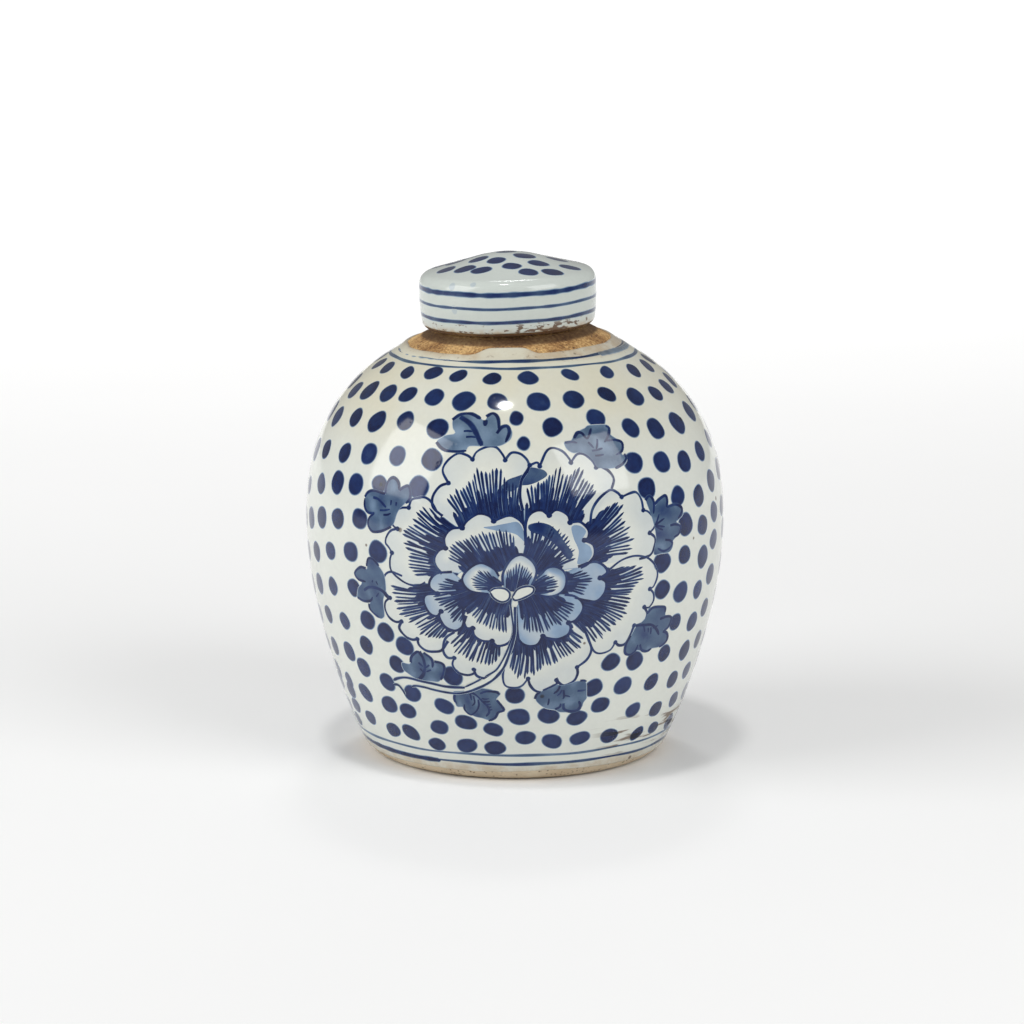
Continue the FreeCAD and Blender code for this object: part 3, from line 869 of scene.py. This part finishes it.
INNER_PETALS = (
    (((-22, -8), (-14, -3), (-8, -4), (-3, -2), (3, 0)),
     ((-26, -2), (-24, 3), (-20, 6), (-17, 7.5), (-12, 9), (-8, 9.5), (-4, 9.5), (0, 8)),
     (((-28, -8), (-30.5, -5), (-31, -2), (-29, 1), (-26.5, 2)),
      ((-26.5, 2), (-27, 6), (-24, 9.5), (-20, 10)),
      ((-20, 10), (-18, 13), (-14, 15.5), (-10, 15), (-8, 13)),
      ((-8, 13), (-3, 15), (0, 14.5), (3.5, 11), (4.5, 3)))),
    (((4, 1), (7, -3), (10, -5), (17, -6)),
     ((5.5, 12), (10, 12.5), (15, 10.5), (19, 7), (22, 3), (23.5, -2)),
     (((4, 4), (4, 12), (6, 16), (10, 17), (13, 15)), ((13, 15), (16, 17), (20, 15), (21, 12)),
      ((21, 12), (25, 12), (28, 9), (28, 6), (26.5, 5)),
      ((26.5, 5), (30, 3), (30.5, -1), (28, -4), (25, -5.5)))),
    (((19, -6), (20, -10), (18, -15)), ((26, -6), (29, -9), (29, -13), (26, -16.5)),
     (((24, -5), (30, -3.5), (34, -5), (36, -8), (33, -10)),
      ((33, -10), (35.5, -12), (35, -16), (32, -19), (28, -18.5), (23, -17)))),
    (((18, -15.5), (12, -16), (7, -16.5), (2, -17.5)),
     ((23, -19), (22, -24), (18, -27.5), (13, -30), (8, -31.5), (3, -29)),
     (((19, -15.5), (23, -16.5), (26, -19), (26.5, -22), (24, -26), (21, -27)),
      ((21, -27), (22, -29), (21, -32), (17, -33.5), (13, -33), (11, -32)),
      ((11, -32), (9, -35.5), (5, -36), (2, -34), (1, -31), (0.5, -20)))),
    (((-2, -18), (-6, -18.5), (-9, -17.5), (-16, -15)),
     ((-2.5, -30), (-6, -30), (-11, -29), (-15, -26.5), (-18.5, -23)),
     (((-0.5, -24), (-1, -32), (-3, -35), (-7, -36), (-9, -34)),
      ((-9, -34), (-13, -34), (-16, -32), (-16.5, -29)),
      ((-16.5, -29), (-19, -29), (-20, -26), (-20, -20)))),
    (((-16, -17), (-18, -14), (-20, -10)),
     ((-21, -27), (-25, -26.5), (-28, -22), (-31, -18), (-30, -13), (-27, -9.5)),
     (((-19, -24), (-20, -27), (-21, -29), (-24, -30.5), (-28, -29), (-30, -25), (-29, -23)),
      ((-29, -23), (-31, -25), (-34, -24), (-36, -20), (-35, -17), (-30, -16)),
      ((-30, -16), (-33, -14), (-33, -11), (-30, -8), (-24, -7)))),
)

CROWN = (
    (((-6, -14), (-7, -12), (-6.5, -9.5)), ((-14, -14), (-16.5, -10.5), (-14.5, -6.5), (-10, -6)),
     (((-10, -15), (-17, -14), (-20, -10), (-18, -6), (-13, -3), (-8, -5), (-6, -8)),)),
    (((6, -14), (7.5, -12.5), (9, -10)), ((13, -14.5), (16, -13), (16, -9.5), (12, -7)),
     (((8, -15), (12, -16), (16, -15.5), (19, -13), (19.5, -9), (18, -6), (15, -4.5), (12, -5),
       (10, -7), (8, -9)),)),
    (((-4.5, -13), (0, -13.5), (5, -13)), ((-3.5, -6.5), (-1, -4), (2, -3), (5.5, -5), (7, -8)),
     (((-4.5, -11.5), (-4.5, -7), (-2, -2), (2, 0.5), (6, -1.5), (8, -5), (7.5, -9), (6, -12)),)),
)
HEART = (
    ((-9.5, -14), (-7.5, -12.7), (-4, -12.7), (-2, -14.5), (-2.5, -17), (-5, -18), (-8, -16.5)),
    ((-1, -16), (1, -13), (4.5, -11.8), (7, -12.5), (6.5, -14.5), (3, -16.5), (0, -17.3)),
)
STEM = (
    (0.7,
     ((-1.7, -19), (-1, -25), (-0.5, -30), (-2, -35), (-3.5, -39), (-5.5, -43), (-8, -46.5),
      (-12.5, -49.3))),
    (0.7, ((-14, -50.2), (-17, -52), (-21.5, -54.3))),
    (1.0,
     ((0, -20), (0, -30), (-1, -35), (-2.5, -40), (-4.5, -45), (-8, -49.5), (-12, -52.5), (-17, -55),
      (-21, -56.5), (-25, -57.3), (-30, -57.3), (-36, -56.7), (-41, -56), (-45, -56), (-47, -56.7))),
    (1.1,
     ((-21.5, -54.5), (-30, -54.7), (-36, -54), (-42, -53.5), (-46, -53), (-50, -53), (-54, -54),
      (-56.5, -55.2))),
    (1.1, ((-57, -57.2), (-55, -56.8), (-53.5, -57.5), (-52, -59.5), (-51.5, -61))),
)


WASH = ((-6, 25), (-3, 28.5), (1, 30), (5, 31.5), (6, 33.3), (9, 33), (12, 32), (13, 30), (10, 28),
        (6, 26.5), (2, 26), (-1, 24))
# For each inner petal: its wash, how much of it reaches the rim, and darker or paler pools over it.
INNER_WASHES = (
    (0.12, 0.0,
     ((0.36, ((-13, 10.5), (-8, 11.5), (-3, 12.5), (1, 13), (3.3, 10), (3.8, 5), (0, 8), (-6, 9))),)),
    (0.12, 0.0,
     ((0.82,
       ((5, 11.5), (9, 12.5), (13, 11.5), (16, 9), (19, 4.5), (22, 0), (20, -2), (16, 3), (11, 7),
        (6, 9))),
      (0.34,
       ((21.3, 10.5), (24.5, 11), (27.5, 8.5), (26, 5), (29, 2.5), (29.7, -1), (27.5, -3.7),
        (23.5, -4), (24, 1), (22, 6))))),
    (0.32, 0.85, ()),
    (0.32, 0.8, ()),
    (0.12, 0.1, ()),
    (0.28, 0.8, ()),
)


def paint_flower():
    outer = Paint("paint_outer_petals", jar_place, jar_stretch)
    for base, tips, lobes in OUTER_PETALS:
        petal(outer, 0, base, tips, lobes, 0.07, (1, -8), 1.55)
    outer.fill(WASH, wash_tone(0.72), 0.045, rim=0.6)
    outer.build("jar", glaze)
    inner = Paint("paint_inner_petals", jar_place, jar_stretch)
    for (strength, margin, washes), (base, tips, lobes) in zip(INNER_WASHES, INNER_PETALS):
        petal(inner, 1, base, tips, lobes, strength, (0, -12), 1.35, 0.75, margin=margin, washes=washes)
    for base, tips, lobes in CROWN:
        petal(inner, 2, base, tips, lobes, 0.46, (0, -15), 1.15, 0.52, 0.6)
    for leaf in HEART:
        inner.fill(leaf, lambda places: 0.0 * places[:, 0], 0.03 + LEVEL * 3, step=0.9)
        inner.stroke(leaf + leaf[:1], 0.7, 0.95, 0.0, 0.05 + LEVEL * 3)
    inner.build("jar", glaze)
    stem = Paint("paint_stem", jar_place, jar_stretch)
    gap = ((-1.6, -19), (-0.9, -25), (-0.6, -30), (-2, -35.5), (-4, -41), (-7, -46.5), (-12.5, -50.3),
           (-18, -53), (-22, -54.8))
    far_gap = ((0, -20), (0, -30), (-1, -35), (-2.5, -40), (-4.5, -45), (-8, -49.5), (-12, -52.5), (-17, -55),
               (-22, -56.5))
    stem.fill(gap + far_gap[::-1], lambda places: 0.0 * places[:, 0], 0.03 + LEVEL * 2, smooth=False)
    for width, points in STEM:
        stem.stroke(points, width, 0.93, 0.0, 0.05 + LEVEL * 2, ends=(0.8, 0.5))
    stem.build("jar", glaze)


# Five short veins on the leaf below the stem.
VEINS = tuple((0.8, ((-14.5 + 0.7 * k, -59 - 1.2 * k), (-12.8 + 0.5 * k, -59.2 - 1.2 * k),
                     (-11.2 + 0.3 * k, -58.9 - 1.2 * k))) for k in range(5))
# Each leaf: tone of its wash, its outline, and its strokes as a width and points.
LEAVES = (
    (0.5,
     ((-34.5, 42.5), (-33, 40.5), (-30, 39), (-25, 38.7), (-20.5, 39.5), (-19, 41), (-10, 41),
      (-6, 41.5), (-3, 43), (-1.5, 44.5), (-1, 47), (-2, 49), (-3.5, 49.7), (-6, 48.5), (-7, 50),
      (-7.5, 53), (-10, 55), (-13, 53.5), (-14.5, 52), (-18, 54.5), (-22, 55), (-26, 54.5),
      (-29, 52.5), (-29.5, 51), (-28.5, 48), (-27, 46), (-31, 45)),
     ((2.0, ((-26, 53), (-21, 50.5), (-18, 47.5), (-15, 43), (-14, 41.5))),
      (1.2, ((-29.5, 51.5), (-26, 54), (-21, 54.5), (-16, 52.5))),
      (1.1, ((-13.5, 53.5), (-10.5, 55), (-8, 53), (-7, 48))),
      (1.6, ((-13.7, 52), (-13.6, 51), (-13.5, 49.5))),
      (1.2, ((-8, 46.5), (-6, 49), (-3.5, 49.5), (-2.5, 47), (-4, 43))),
      (1.0, ((-34.5, 42), (-32, 40), (-29, 38.9), (-24, 38.8), (-20.5, 39.3))),
      (0.9, ((-23, 47), (-21, 47.2), (-19, 47))), (0.9, ((-21.5, 44.7), (-19, 44.9), (-17, 44.7))))),
    (0.56,
     ((21, 42.5), (24, 43), (26, 45), (29, 47), (32, 48), (34.5, 49), (43.5, 48.5), (44, 46),
      (43.5, 44.5), (46, 42.5), (48.5, 40.5), (48, 38.5), (46.5, 36.5), (48, 35), (48.5, 33.5),
      (46, 31.5), (42, 31), (38, 31), (35, 31.5), (33.5, 32), (32.5, 34.5), (30, 37), (27, 38),
      (24.5, 38), (22, 39.5)),
     ((0.9, ((21.5, 42.3), (25, 42.5), (27, 42))),
      (1.0, ((26, 44), (28, 46), (30, 45.8), (32, 43.5), (35, 47.5))),
      (1.0, ((42.5, 48), (43.8, 47), (43, 45), (41, 42.5), (39.5, 41.5))),
      (0.9, ((41, 42), (43, 42), (45.5, 41.8), (48, 40.5), (47, 37.5), (43.5, 36))),
      (0.9, ((47.5, 36), (48.2, 34.5), (46, 32.5), (42, 31))),
      (0.8, ((32, 42), (33, 40.8), (34, 39.5))), (0.8, ((36.5, 43), (36, 41), (35, 39))),
      (0.8, ((33, 38.5), (35.5, 38.7), (38, 39.2))), (0.8, ((34, 36.5), (36, 36.5), (38, 36.7))))),
    (0.62,
     ((-64.5, 17.5), (-63, 19.5), (-60, 20.5), (-54, 20), (-54, 23), (-53, 25.5), (-51, 26.5),
      (-48.5, 25), (-47.5, 22), (-45.5, 23.5), (-43.5, 24), (-42.3, 21.5), (-42.5, 19), (-44, 17.5),
      (-47, 14), (-48.5, 9.5), (-50, 8), (-54, 6), (-58, 5), (-60, 5.5), (-61.5, 7.5), (-61, 10),
      (-58.5, 12), (-62, 12), (-64, 14)),
     ((1.0, ((-64.5, 17.5), (-63, 19.5), (-60, 20.5), (-54, 20))),
      (1.0, ((-54, 20), (-54, 23), (-53, 25.5), (-51, 26.5), (-48.5, 25), (-47.5, 22))),
      (1.0, ((-47.5, 22), (-45.5, 23.5), (-43.5, 24), (-42.3, 21.5), (-42.5, 19), (-44, 17.5))),
      (0.9, ((-50, 8), (-54, 6), (-58, 5), (-60, 5.5), (-61.5, 7.5), (-61, 10), (-58.5, 12))),
      (0.9, ((-58.5, 12), (-62, 12), (-64, 14), (-64.5, 17))),
      (1.0, ((-60, 18), (-57, 17.5), (-53, 15))), (0.8, ((-56, 13.5), (-53.5, 13.8), (-51, 14.5))),
      (0.8, ((-54, 12), (-52, 12.3), (-50.5, 13))), (0.8, ((-50.8, 18), (-50.8, 17), (-50.8, 16))),
      (0.8, ((-48.3, 17.5), (-48.3, 16.7), (-48.3, 16))))),
    (0.66,
     ((-62.5, -7.5), (-61.5, -6), (-59, -5.8), (-56.5, -7.5), (-54, -10), (-53, -13), (-53, -17),
      (-54, -19.5), (-55, -22), (-55, -27), (-55.5, -28.5), (-57.5, -29.5), (-60, -28.5), (-62, -27.5),
      (-63.3, -25), (-62, -22.8), (-65, -23.3), (-69, -23), (-69.8, -22), (-68.5, -18.5), (-66, -16),
      (-69, -14), (-69.5, -12.5), (-67.5, -10.5), (-65, -10), (-62.5, -10)),
     ((1.2, ((-65, -19), (-62, -17.3), (-58, -17), (-54.5, -18), (-52.5, -20.3))),
      (0.9, ((-63, -10), (-66, -10), (-69, -12), (-69.5, -13.5), (-67.5, -15), (-63.5, -15.3))),
      (0.9, ((-69.5, -22.5), (-66, -23.3), (-62, -22.7), (-60.5, -21))),
      (0.9, ((-63, -24), (-62.8, -26), (-61, -27.5), (-58, -29))),
      (0.9, ((-62.5, -9), (-61.5, -6), (-59, -5.8), (-56, -8))),
      (0.8, ((-60, -15), (-59.8, -14.5), (-59.5, -14))),
      (0.8, ((-58, -14.3), (-57.5, -15), (-57, -15.5))),
      (0.8, ((-58.5, -20.5), (-57.7, -19.7), (-57, -18.8))))),
    (0.66,
     ((54, 17.5), (55, 18.5), (56.5, 18.8), (58, 16.5), (58.5, 15), (61, 16.8), (64, 18), (66, 17),
      (65.8, 14.5), (69, 14), (73, 13), (74.5, 11), (74, 9), (72, 8), (70, 7), (72, 6), (71.5, 2.5),
      (69, 1), (67.5, 0), (67.5, -2), (65.5, -4), (61, -4), (57, -3.5), (58, 3), (56.5, 10)),
     ((1.0, ((58.5, 15.5), (61, 17), (64.5, 18), (65.3, 16), (64.5, 13.5))),
      (1.0, ((65, 13.5), (70, 13.8), (73.5, 12), (73, 10), (71, 8.3))),
      (0.9, ((66, 6.3), (69, 6.3), (72, 5), (71, 2.5), (68, 1.5))),
      (0.9, ((63, 1.3), (66, 0.5), (67, -1), (65, -2.5), (62, -3), (59, -1.5))),
      (1.0, ((54, 17.5), (55, 18.5), (56.5, 18.8), (58, 16.5), (57.5, 12))),
      (0.8, ((58, 7.5), (60.5, 8.6), (63, 9.5))), (0.8, ((58, 7.5), (59.3, 9.5), (60.3, 11.5))),
      (0.8, ((58, 7.5), (60.5, 6.8), (63, 6.3))), (0.8, ((58, 7.3), (60, 6), (62, 5.2))))),
    (0.66,
     ((56.5, -24.5), (60, -25), (64, -25), (66.5, -27), (66.5, -29), (69, -30), (71, -31),
      (69.5, -34.5), (67, -36), (69.5, -37), (70.5, -39), (69.5, -41), (66, -42.5), (62, -42.5),
      (58.5, -43.3), (55.5, -42.5), (53, -42), (50, -43.3), (47.5, -42), (47, -38.5), (49, -35),
      (51, -31.5), (53.5, -30), (55.5, -28)),
     ((1.1, ((51, -31.2), (55, -31.5), (59, -32), (62, -34), (64.5, -37))),
      (1.0, ((56, -27), (58.5, -25), (63, -25.3), (65.5, -26), (66, -28))),
      (1.0, ((63.5, -30.3), (68, -30), (70.5, -31.2), (69.5, -34.5), (66.5, -36))),
      (1.0, ((66.5, -36), (69, -37), (70.3, -39), (69.5, -41), (66, -42.5))),
      (0.9, ((49, -35), (47.3, -38.5), (47.5, -42), (50, -43.2), (52.5, -42), (53.5, -39.5))),
      (0.9, ((54.5, -39.5), (56, -42), (59, -43), (61.5, -42.3))),
      (0.8, ((55, -32), (55.6, -33.3), (56, -34.5))), (0.8, ((57.5, -33), (57.8, -34), (58, -35))),
      (0.8, ((59, -33), (59.3, -34.5), (59.5, -36))), (0.8, ((60, -33.5), (61.5, -33.2), (63, -33))))),
    (0.6,
     ((12, -55), (15, -53.8), (17.5, -52.8), (20, -53.2), (23, -52.8), (26, -52), (29, -52), (31, -53),
      (32, -58.5), (32.3, -60), (31, -62), (30.5, -64), (28, -65.3), (24, -65.8), (20, -65.5),
      (18, -64.5), (13.5, -63.5), (10, -61), (8.8, -59), (9.5, -57), (10.8, -56)),
     ((0.8, ((8.7, -59), (9.5, -57), (11, -56))), (0.8, ((12, -55.3), (15, -54), (17.5, -52.8))),
      (0.8, ((19.3, -53.5), (18.5, -55.5), (16.7, -57))),
      (0.8, ((20.3, -55.5), (19.5, -57), (18.3, -58))),
      (0.8, ((21, -55.5), (21.5, -58.5), (21, -59.5))),
      (0.8, ((21.5, -58), (23, -58.3), (24.3, -58.8))),
      (1.0, ((27.3, -56.3), (29, -56.4), (31, -56.2))), (0.8, ((28, -52), (29.5, -52), (31, -52.5))),
      (0.7, ((14.8, -59), (14.8, -60.5), (14.5, -62))), (0.9, ((18, -64), (20, -63), (20.3, -61.5))),
      (1.2, ((21.5, -61.5), (22, -64), (25, -65.3), (28.5, -65), (29.5, -63), (28.5, -61))))),
    (0.66,
     ((-27, -56.5), (-23, -56), (-19, -55), (-14, -54.3), (-9, -55), (-6, -56.5), (-8, -59.5),
      (-5.5, -62), (-5, -63.5), (-7, -65), (-9, -67.5), (-12, -68.8), (-15, -68), (-18, -67.5),
      (-21, -66), (-23, -63.5), (-26, -63.5), (-27, -61), (-26.5, -58)),
     ((0.9, ((-26.2, -57.5), (-26.8, -60), (-26, -62))),
      (1.0, ((-21, -55.5), (-17, -57.5), (-14.5, -60), (-12, -62.5), (-11.5, -65), (-13, -67))),
      (1.0, ((-15, -56.8), (-12, -55.7), (-8, -56), (-6.5, -57))),
      (0.8, ((-19.5, -57), (-19.2, -58.5), (-19, -60))),
      (0.8, ((-18, -58), (-17.7, -61), (-19, -62.5))),
      (0.8, ((-16, -59.5), (-16, -62.5), (-17.5, -65), (-20, -66.5), (-22.5, -64.5), (-22.5, -62))),
      (0.9, ((-8, -59.5), (-6, -62), (-5, -64), (-7.5, -65), (-9, -67.5), (-12, -69))))
     + VEINS),
    (0.62,
     ((-50, -46.5), (-46, -46.5), (-45, -44), (-43, -42), (-40.5, -40.8), (-38, -41.5), (-35.5, -43.5),
      (-35, -45), (-33, -44.3), (-31, -44.5), (-29.5, -46), (-30, -48), (-31, -50.5), (-33, -53),
      (-37, -53.2), (-42, -53.5), (-45, -52.5), (-48, -51), (-50, -49.5)),
     ((1.3, ((-40.5, -40.8), (-39, -43.5), (-38.7, -47), (-39.7, -50), (-42, -52.5), (-43.5, -53))),
      (1.0, ((-45.3, -46), (-44.5, -43.5), (-42, -41.3), (-40.3, -40.8))),
      (0.9, ((-38.5, -41), (-35.5, -43), (-34.8, -45), (-35.2, -47))),
      (0.9, ((-34, -44.3), (-31, -44.7), (-29.8, -46), (-30.5, -49), (-32, -52))),
      (0.8, ((-41.5, -45.5), (-40.5, -46.3), (-39.5, -47))),
      (0.8, ((-41, -48), (-40.5, -48.7), (-40, -49.3))),
      (0.8, ((-36.5, -46), (-37.5, -46.8), (-38.5, -47.5))),
      (0.8, ((-36, -48), (-37.2, -48.6), (-38.3, -49.2))))),
)


def leaf_tone(tone, seed):
    return lambda places: tone * (1 + 0.16 * waver(places, seed, 9.0))


def paint_leaves():
    paint = Paint("paint_leaves", jar_place, jar_stretch)
    for number, (tone, outline, strokes) in enumerate(LEAVES):
        lift = 0.03 + LEVEL * 0.9
        paint.fill(outline, leaf_tone(tone, number), lift)
        for width, points in strokes:
            paint.stroke(points, width, 0.93, tone, lift + 0.02, ends=(0.9, 0.5))
    paint.build("jar", glaze)


# ---------------------------------------------------------------- the painting on the lid

DOME_DOTS = ((0, 1), (-11, -6), (-4, -11.5), (7, -6), (20, 0), (12.5, -13), (2, -18), (-24, -8),
             (-16.5, -14.5), (-10, -19.5), (8.5, -23.5), (18, -21), (25, -10.5), (-1, 9), (9, 8),
             (-12, 5), (-20, 3), (17, 11), (3, 18), (-8, 16), (-17, 14), (-26, 8), (25, 12), (12, 21),
             (-3, 27), (-14, 24), (22, 20))


def paint_lid():
    sides = Paint("paint_lid_lines", lid_side_place, no_stretch)
    whole = TAU * RIM_FLAT_RADIUS
    angle = np.linspace(0, whole, 160)
    for height, width, ink in ((5.9, 1.3, 0.82), (11.2, 1.05, 0.72), (16.6, 1.8, 0.82)):
        turn = angle / RIM_FLAT_RADIUS
        wave = 0.08 * np.sin(3 * turn + height) + 0.08 * np.sin(8 * turn)
        line = np.stack([angle, LID.run_at_height(height) + wave], -1)
        sides.stroke(line, width, ink, 0.0, 0.04, ends=(1, 1), smooth=False)
    for around, height, wide, high in ((-21, 19.5, 2.6, 3.4), (-12.5, 20.5, 2.2, 2.4), (-20, 10.6, 2.4, 3.6)):
        sides.dot(around, LID.run_at_height(height), wide, high, 0.1, 0.0, 0.03, soft=0.42)
    sides.build("lid", glaze)
    dome = Paint("paint_lid_dots", lid_top_place, no_stretch)
    rng = random.Random(4)
    for right, back in DOME_DOTS:
        dome.dot(right, back, 8.2 * rng.uniform(0.9, 1.1), 6.6 * rng.uniform(0.9, 1.1), 0.95)
    dome.build("lid", glaze)


paint_rings()
paint_dots()
paint_leaves()
paint_flower()
paint_lid()


# ---------------------------------------------------------------- studio

def softbox(name, place, aim, size, watts):
    data = bpy.data.lights.new(name, "AREA")
    data.shape, data.size, data.size_y = "RECTANGLE", size[0], size[1]
    data.energy = watts
    lamp = bpy.data.objects.new(name, data)
    bpy.context.scene.collection.objects.link(lamp)
    lamp.location = place
    lamp.rotation_euler = (Vector(aim) - Vector(place)).to_track_quat("-Z", "Y").to_euler()


def spotlight(name, place, watts, degrees, size):
    """A round lamp that shines straight down."""
    data = bpy.data.lights.new(name, "SPOT")
    data.energy, data.shadow_soft_size = watts, size
    data.spot_size, data.spot_blend = math.radians(degrees), 0.6
    lamp = bpy.data.objects.new(name, data)
    bpy.context.scene.collection.objects.link(lamp)
    lamp.location = place


def studio():
    floor_mesh = bpy.data.meshes.new("floor")
    corners = [(-9, -9, 0), (9, -9, 0), (9, 9, 0), (-9, 9, 0)]
    floor_mesh.from_pydata(corners, [], [(0, 1, 2, 3)])
    floor = bpy.data.objects.new("floor", floor_mesh)
    bpy.context.scene.collection.objects.link(floor)
    paper = Nodes("paper")
    tone = paper.ramp(paper.noise(400.0), ((0.3, (0.93, 0.93, 0.925)), (0.7, (0.95, 0.95, 0.945))))
    floor_mesh.materials.append(paper.finish(tone, 0.9, [(paper.noise(3.0), 0.02)]))
    aim = (0, 0, 0.11)
    softbox("key_left", (-1.17, -0.42, 0.74), aim, (0.92, 1.04), 10.4)
    softbox("key_right", (0.86, -0.74, 0.78), aim, (0.82, 0.82), 7.4)
    spotlight("overhead", (-0.3, -0.7, 3.8), 100, 105, 0.2)
    spotlight("backdrop", (0, 3.05, 3.4), 440, 92, 0.5)
    world = bpy.data.worlds.new("room")
    world.use_nodes = True
    world.node_tree.nodes["Background"].inputs[0].default_value = (1, 1, 1, 1)
    world.node_tree.nodes["Background"].inputs[1].default_value = 0.29
    bpy.context.scene.world = world
    bpy.context.scene.view_settings.view_transform = "Standard"


def camera():
    data = bpy.data.cameras.new("camera")
    data.sensor_width, data.lens = 36.0, 150.67
    data.clip_end = 50
    shape = bpy.data.objects.new("camera", data)
    bpy.context.scene.collection.objects.link(shape)
    place, target = Vector((-0.0011, -1.65, 0.4299)), Vector((-0.0011, 0, 0.09375))
    shape.location = place
    shape.rotation_euler = (target - place).to_track_quat("-Z", "Y").to_euler()
    bpy.context.scene.camera = shape


studio()
camera()
